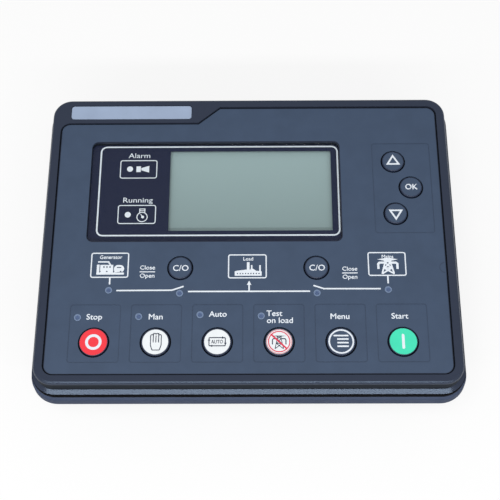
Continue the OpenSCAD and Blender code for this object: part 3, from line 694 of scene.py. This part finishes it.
def pylon(width, height, line, roof):
    """Lattice mast: a pointed upper arm as deep as roof, a lower arm with drops, and two braced legs."""
    foot, waist, brace = 0.29 * width, 0.13 * width, 0.18 * width
    top, arm, knee = 0.38 * height, 0.2 * height, -0.14 * height
    half = 0.46 * width
    tip, crown, root = top + 0.2 * roof, top + 0.6 * roof, top - 0.4 * roof
    upper = [(-width / 2, tip), (-waist, root), (waist, root), (width / 2, tip)]
    shapes = [upper + [(waist, crown), (-waist, crown)]]
    shapes += stroke([(-waist, top), (waist, arm)], line)
    shapes += stroke([(waist, top), (-waist, arm)], line)
    for side in (-1, 1):
        shapes += stroke([(side * waist, top), (side * waist, arm), (side * foot, -height / 2)], line)
        shapes += stroke([(side * waist, arm), (-side * brace, knee)], line)
        shapes += stroke([(side * brace, knee), (-side * foot, -height / 2)], line)
        drop = [(side * waist, arm), (side * 0.86 * half, arm), (side * half, arm - 0.07 * height)]
        shapes += stroke(drop + [(side * half, -0.2 * height)], 1.4 * line)
    return shapes + stroke([(-0.2 * width, knee), (0.2 * width, knee)], line)


def engine_set(width, height):
    """Engine with its radiator and exhaust, and the generator behind it, on a skid."""
    left, low = -width / 2, -height / 2
    deck, drum, back = low + 0.15 * height, 0.28 * height, left + 0.63 * width
    shapes = share_box(width, height, 0, 1, 0, 0.15)
    shapes += share_box(width, height, 0.005, 0.1, 0.1, 0.74)
    shapes += share_box(width, height, 0.13, 0.6, 0.15, 0.72)
    outer = arc(-left - drum, deck + drum, drum, -50, 90)
    inner = arc(back + drum, deck + drum, drum, 90, 180)
    shapes += [[(back, deck)] + outer + inner]
    pipe_up = low + 0.94 * height
    pipe = [(left + 0.5 * width, low + 0.7 * height), (left + 0.42 * width, pipe_up)]
    return shapes + stroke(pipe + [(left + 0.04 * width, pipe_up)], 0.1 * height)


def engine_gaps(width, height):
    """Small openings on the engine set, printed over it."""
    left, low = -width / 2, -height / 2
    shapes = []
    for i in range(3):
        x = 0.24 + 0.11 * i
        shapes += share_box(width, height, x, x + 0.045, 0.5, 0.62)
    for i in range(4):
        x = 0.1 + 0.25 * i
        shapes += share_box(width, height, x, x + 0.05, 0.19, 0.27)
    middle = low + 0.52 * height
    return shapes + bar((left + 0.75 * width, middle), (left + 0.88 * width, middle), 0.5)


def works(width, height):
    """Factory: a long block with a pitched hall and three chimneys."""
    left, low = -width / 2, -height / 2
    block = low + 0.32 * height
    shapes = share_box(width, height, 0, 1, 0, 0.32)
    eaves, ridge = block + 0.04 * height, block + 0.13 * height
    hall = [(left, block), (-left, block), (0.3 * width, eaves), (0.18 * width, ridge + 0.06 * height)]
    shapes += [hall + [(0.05 * width, ridge), (-0.08 * width, ridge), (left + 0.06 * width, eaves)]]
    for x, thick, top in ((0.0, 0.1, 1.0), (0.13, 0.055, 0.78), (0.44, 0.06, 0.78)):
        shapes += box_shape((x - thick / 2) * width, (x + thick / 2) * width, block, low + top * height)
    return shapes


def works_gaps(width, height):
    """Row of windows along the factory, printed over it."""
    shapes = []
    for i in range(9):
        x = 0.08 + 0.1 * i
        shapes += share_box(width, height, x, x + 0.045, 0.12, 0.2)
    return shapes


def horn():
    """Sounder: its driver and its bell."""
    bell = [(-0.75, -0.65), (3.3, -1.95), (3.3, 1.95), (-0.75, 0.65)]
    return box_shape(-3.3, -1.0, -1.65, 1.65) + [bell]


def crank():
    """Running engine: cylinder over a crankcase, with its rod and crank pin."""
    line, thin = 0.45, 0.4
    shapes = ring(0, -0.9, 2.6, line)
    shapes += stroke([(-1.3, 1.6), (-1.3, 3.6), (1.3, 3.6), (1.3, 1.6)], line)
    shapes += stroke([(-1.3, 2.6), (1.3, 2.6)], thin)
    return shapes + bar((-0.7, 0.6), (0.3, -0.9), thin) + disc(0.3, -0.9, 0.75)


def hand():
    """Open hand in outline."""
    finger, line = 0.64, 0.44
    path = [(1.45, -4.1), (1.8, -3.9), (2.56, -1.6)]
    tips = []
    for i, top in enumerate((3.0, 3.65, 3.65, 3.0)):
        tips += arc((1.5 - i) * 2 * finger, top, finger, 0, 180, 6)
    shapes = stroke(path + tips + [(-x, y) for x, y in reversed(path)], line, True)
    for i in range(3):
        x = (1 - i) * 2 * finger
        shapes += stroke([(x, 3.2), (x, -0.3)], line)
    return shapes


def auto_loop():
    """Lettering in a frame, with arrow heads round it."""
    w, h, line, head = 3.9, 2.05, 0.5, 0.75
    shapes = round_box(-w, w, -h, h, 0.5, line)
    for x, y, turn in ((-w, 0.9, 90), (w, -0.9, 270), (2.7, h, 0), (-2.7, -h, 180)):
        shapes += [arc(x, y, head, turn, turn + 360, 3)[:-1]]
    return shapes + words("AUTO", 0, 0, AUTO_CAP, wide=0.8)


def triangle(turn):
    """Outline of a triangle that points up for a turn of 1, and down for -1."""
    return stroke([(0, turn * 3.1), (-2.85, turn * -1.55), (2.85, turn * -1.55)], 0.85, True)


def menu_bars():
    """Ring round four bars, the first of them longer."""
    line, half = 0.75, 0.38
    shapes = ring(0, 0, 5.75, line)
    for y, x in ((2.95, -3.6), (1.2, -1.9), (-0.6, -1.9), (-2.4, -1.9)):
        shapes += box_shape(x, 3.5, y - half, y + half)
    return shapes


# Legends of the fascia and the window

FACE = (0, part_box("fascia")[0].y / MM)


def on_face(name, shapes, slot="key_white", rise=0.0):
    """Prints shapes on the fascia."""
    ink(name, shapes, "fascia", slot, FACE, "case", rise)


def on_mask(name, shapes):
    """Prints shapes in white on the mask behind the window."""
    ink(name, shapes, "display_mask", "key_white", FACE, "case")


def supply_box(name, sides, caption, picture, gaps=None, drop=1.4):
    """Framed pictogram with its caption, both a little aside from the middle of the frame."""
    x0, x1, y0, y1 = sides
    x, y = (x0 + x1) / 2 + BOX_ASIDE, (y0 + y1) / 2 - drop
    shapes = shifted(picture, x, y)
    shapes += round_box(x0, x1, y0, y1, BOX_ROUND, BOX_LINE)
    shapes += words(caption, x, y1 - BOX_CAPTION, SMALL_CAP, wide=0.98)
    on_face(name, shapes)
    if gaps:
        on_face(name + "_gaps", shifted(gaps, x, y), "fascia_blue", INK)


ENGINE_SIZE = (13.6, 7.2)
WORKS_SIZE = (13.2, 7.2)
MAST = pylon(width=10.2, height=8.4, line=0.8, roof=1.5)
ENGINE_SIDES = (-77.4, -59.2, 49.4, 62.2)
WORKS_SIDES = (-9.7, 8.8, 48.9, 61.1)
MAST_SIDES = (59.1, 77.3, 50.0, 62.1)

supply_box("generator_box", ENGINE_SIDES, "Generator", engine_set(*ENGINE_SIZE), engine_gaps(*ENGINE_SIZE))
supply_box("load_box", WORKS_SIDES, "Load", works(*WORKS_SIZE), works_gaps(*WORKS_SIZE))
supply_box("mains_box", MAST_SIDES, "Mains", MAST, drop=1.0)

# Mimic diagram: height of the load's line, then each line of it, and the arrow head under the load
BUS = 41.8
MIMIC_PATHS = (
    [(-64.4, 42.4), (-37.3, 42.5), (-31.6, 44.5)],
    [(-29.4, BUS), (30.1, BUS)],
    [(64.5, 43.0), (36.9, 43.1), (31.8, 44.8)],
    [(-67.9, 49.1), (-67.9, 45.6)],
    [(68.3, 49.7), (68.3, 45.8)],
    [(0.4, BUS), (0.4, 46.2)],
)
ARROW_HEAD = [(-0.7, 45.2), (1.5, 45.2), (0.4, 47.4)]
mimic = [shape for path in MIMIC_PATHS for shape in stroke(path, MIMIC_LINE)]
on_face("mimic_lines", mimic + [ARROW_HEAD])

# Words of the two breaker switches, over and under a bar
for side, x, y in (("generator", -49.6, 52.2), ("mains", 49.8, 51.3)):
    long, thick = SWITCH_BAR
    switch = words("Close", x, y + CLOSE_UP, SWITCH_CAP) + words("Open", x, y - OPEN_DOWN, SWITCH_CAP)
    switch += box_shape(x - long, x + long, y - thick, y + thick)
    on_face(side + "_switch_words", switch)

# Words over the lower row of keys
LABELS = {
    "stop": ("Stop", -74.4, 28.9),
    "manual": ("Man", -44.7, 28.9),
    "auto": ("Auto", -14.6, 30.2),
    "menu": ("Menu", 44.2, 28.9),
    "start": ("Start", 73.0, 29.0),
}
for key, (text, x, y) in LABELS.items():
    on_face(key + "_words", words(text, x, y, LABEL_CAP))
on_face("test_words", words("Test", 12.6, 30.5, LABEL_CAP) + words("on load", 15.3, 26.9, LABEL_CAP))


def field_shade_line(x0, x1, y0, y1):
    """Painted shade: a darker line just outside the edge of a shallow field, where its step would be
    shaded.
    """
    out = FIELD_SHADE_LINE / 2
    return round_box(x0 - out, x1 + out, y0 - out, y1 + out, FIELD_ROUND + out, FIELD_SHADE_LINE)


ROW_KEYS = ("stop", "manual", "auto", "test", "menu", "start")
row_places = [middle_of(key + "_key").x / MM for key in ROW_KEYS]
row_half = (row_places[1] - row_places[0] - FIELD_EDGE) / 2
row_shade_lines = [line for x in row_places for line in field_shade_line(x - row_half, x + row_half, *FIELD_ROW)]
# Painted shade: darker lines along the edges of the shallow fields.
on_face("row_field_lines", row_shade_lines, "fascia_blue")
on_face("menu_field_lines", field_shade_line(*FIELD_NAV), "fascia_blue")
on_face("lift_mark", stroke(arc(*LIFT_PLACE, LIFT_RADIUS, 95, 265, 16), LIFT_LINE), "fascia_blue")


def side_mark(name, sides, caption, caption_y, wide, lamp_y, picture):
    """Framed lamp spot and pictogram beside the display, with a caption over them."""
    shapes = round_box(*sides, MARK_ROUND, MARK_LINE)
    shapes += words(caption, CAPTION_X, caption_y, SIDE_CAP, THIN, wide)
    on_mask(name, shapes + disc(LAMP_X, lamp_y, LAMP_RADIUS) + picture)


on_mask("window_frame", round_box(-76.35, 45.85, 73.05, 123.4, WINDOW_LINE_ROUND, WINDOW_LINE))
side_mark(
    "alarm_mark", sides=(-66.0, -47.3, 105.4, 115.5), caption="Alarm", caption_y=118.4, wide=1.16,
    lamp_y=110.6, picture=shifted(horn(), -54.5, 110.5),
)
side_mark(
    "running_mark", sides=(-66.0, -47.1, 79.7, 89.8), caption="Running", caption_y=92.8, wide=1.2,
    lamp_y=84.6, picture=shifted(crank(), -53.8, 84.2),
)


# Faces of the keys

barred = ring(0, 0, 5.1, 0.5) + ring(0, 0, 5.95, 0.2) + bar((-3.75, 3.55), (3.5, -3.5), 0.8)
breaker = words("C/O", 0.3, -0.2, KEY_CAP, bold=0.012, wide=1.02)
KEY_PRINTS = {
    "stop": [("key_white", ring(0, 0, 3.25, 1.35))],
    "manual": [("component_black", shifted(hand(), 0.3, 0))],
    "auto": [("component_black", auto_loop())],
    "test": [("component_black", pylon(width=7.0, height=7.2, line=0.36, roof=0.45)), ("key_red", barred)],
    "menu": [("key_white", menu_bars())],
    "start": [("key_white", bar((0, -3.1), (0, 3.1), 1.3))],
    "generator_breaker": [("key_white", breaker)],
    "mains_breaker": [("key_white", breaker)],
    "up": [("key_white", triangle(1))],
    "confirm": [("key_white", words("OK", 0.1, 0.1, KEY_CAP, bold=0.02, wide=0.98))],
    "down": [("key_white", triangle(-1))],
}
for key, prints in KEY_PRINTS.items():
    middle = middle_of(key + "_key") / MM
    for order, (slot, shapes) in enumerate(prints):
        name = f"{key}_print_{order + 1}"
        ink(name, shapes, key + "_key", slot, (middle.x, middle.y), key + "_button", order * INK)


# Rounded edges on the mouldings that show


def soften(node):
    """Rounds a moulding's sharp edges a little."""
    bevel = nodes[node].modifiers.new("edge", "BEVEL")
    bevel.width = EDGE_ROUND * MM
    bevel.segments = 2
    bevel.limit_method = "ANGLE"
    bevel.angle_limit = math.radians(EDGE_ANGLE)
    bevel.harden_normals = False
    bevel.use_clamp_overlap = True


for node in ("fascia", "front_bezel", "rear_case"):
    soften(node)


# Camera, floor and light


def looked_at(tree):
    """One for rays from the camera, from gloss and through clear sheets, and zero for the rest."""
    path = tree.nodes.new("ShaderNodeLightPath")
    value = path.outputs["Is Camera Ray"]
    for name in ("Is Glossy Ray", "Is Transmission Ray"):
        either = tree.nodes.new("ShaderNodeMath")
        either.operation = "MAXIMUM"
        tree.links.new(value, either.inputs[0])
        tree.links.new(path.outputs[name], either.inputs[1])
        value = either.outputs["Value"]
    return value


def paper(name, code, bounce_code):
    """Matt paper that keeps shadows: paler, and part plain white, where it is looked at."""
    finish = Finish(name, rough=0.9, specular=0.1)
    seen = looked_at(finish.tree)
    bounce = finish.wander(bounce_code, size=300, change=0.02)
    finish.paint(finish.blend(seen, bounce, colour(code)))
    white = finish.add("ShaderNodeEmission")
    white.inputs["Color"].default_value = WHITE
    share = finish.carry(seen, 0, FLOOR_WHITE)
    finish.surface(share, finish.shader.outputs["BSDF"], white.outputs["Emission"])
    return finish


def softbox(name, place, aim, size, power):
    """Rectangular area light at a place, turned to a point, in metres and watts."""
    lamp = bpy.data.lights.new(name, "AREA")
    lamp.shape = "RECTANGLE"
    lamp.size, lamp.size_y = size
    lamp.energy = power
    holder = bpy.data.objects.new(name, lamp)
    holder.location = place
    holder.rotation_euler = (Vector(aim) - Vector(place)).to_track_quat("-Z", "Y").to_euler()
    bpy.context.scene.collection.objects.link(holder)


def surround():
    """World of even light, with a white backdrop near the horizon where it is looked at."""
    world = bpy.data.worlds.new("world")
    world.use_nodes = True
    tree = world.node_tree
    sky = tree.nodes["Background"]
    sky.inputs["Color"].default_value = WHITE
    sky.inputs["Strength"].default_value = SKY_STRENGTH
    white = tree.nodes.new("ShaderNodeBackground")
    white.inputs["Color"].default_value = WHITE
    white.inputs["Strength"].default_value = 1
    direction = tree.nodes.new("ShaderNodeTexCoord")
    height = tree.nodes.new("ShaderNodeSeparateXYZ")
    backdrop = tree.nodes.new("ShaderNodeMapRange")
    backdrop.inputs["From Min"].default_value = BACKDROP_TOP - BACKDROP_SOFT
    backdrop.inputs["From Max"].default_value = BACKDROP_TOP
    backdrop.inputs["To Min"].default_value = 1
    backdrop.inputs["To Max"].default_value = 0
    both = tree.nodes.new("ShaderNodeMath")
    both.operation = "MULTIPLY"
    mix = tree.nodes.new("ShaderNodeMixShader")
    links = (
        (direction.outputs["Generated"], height.inputs["Vector"]),
        (height.outputs["Z"], backdrop.inputs["Value"]),
        (backdrop.outputs["Result"], both.inputs[0]),
        (looked_at(tree), both.inputs[1]),
        (both.outputs["Value"], mix.inputs["Fac"]),
        (sky.outputs["Background"], mix.inputs[1]),
        (white.outputs["Background"], mix.inputs[2]),
        (mix.outputs["Shader"], tree.nodes["World Output"].inputs["Surface"]),
    )
    for source, target in links:
        tree.links.new(source, target)
    return world


camera = bpy.data.objects.new("camera", bpy.data.cameras.new("camera"))
camera.rotation_mode = "ZYX"
camera.rotation_euler = [math.radians(turn) for turn in CAMERA_TURN]
camera.location = CAMERA_PLACE
camera.data.lens = CAMERA_LENS
camera.data.sensor_width = CAMERA_SENSOR
bpy.context.scene.collection.objects.link(camera)
bpy.context.scene.camera = camera

floor_mesh = bmesh.new()
bmesh.ops.create_grid(floor_mesh, x_segments=1, y_segments=1, size=FLOOR_REACH)
floor_data = bpy.data.meshes.new("floor")
floor_mesh.to_mesh(floor_data)
floor_mesh.free()
floor_data.materials.append(paper("floor", "ffffff", "808080").material)
floor = bpy.data.objects.new("floor", floor_data)
bpy.context.scene.collection.objects.link(floor)

softbox("key_light", place=(-0.1, -0.4, 1.4), aim=(0, 0, 0.04), size=(0.9, 0.5), power=8.5)
softbox("ledge_light", place=(0.0, -0.76, 0.77), aim=(0, -0.08, 0.04), size=(1.4, 0.09), power=5.0)
bpy.context.scene.world = surround()
bpy.context.scene.view_settings.view_transform = "Standard"

bpy.context.view_layer.update()
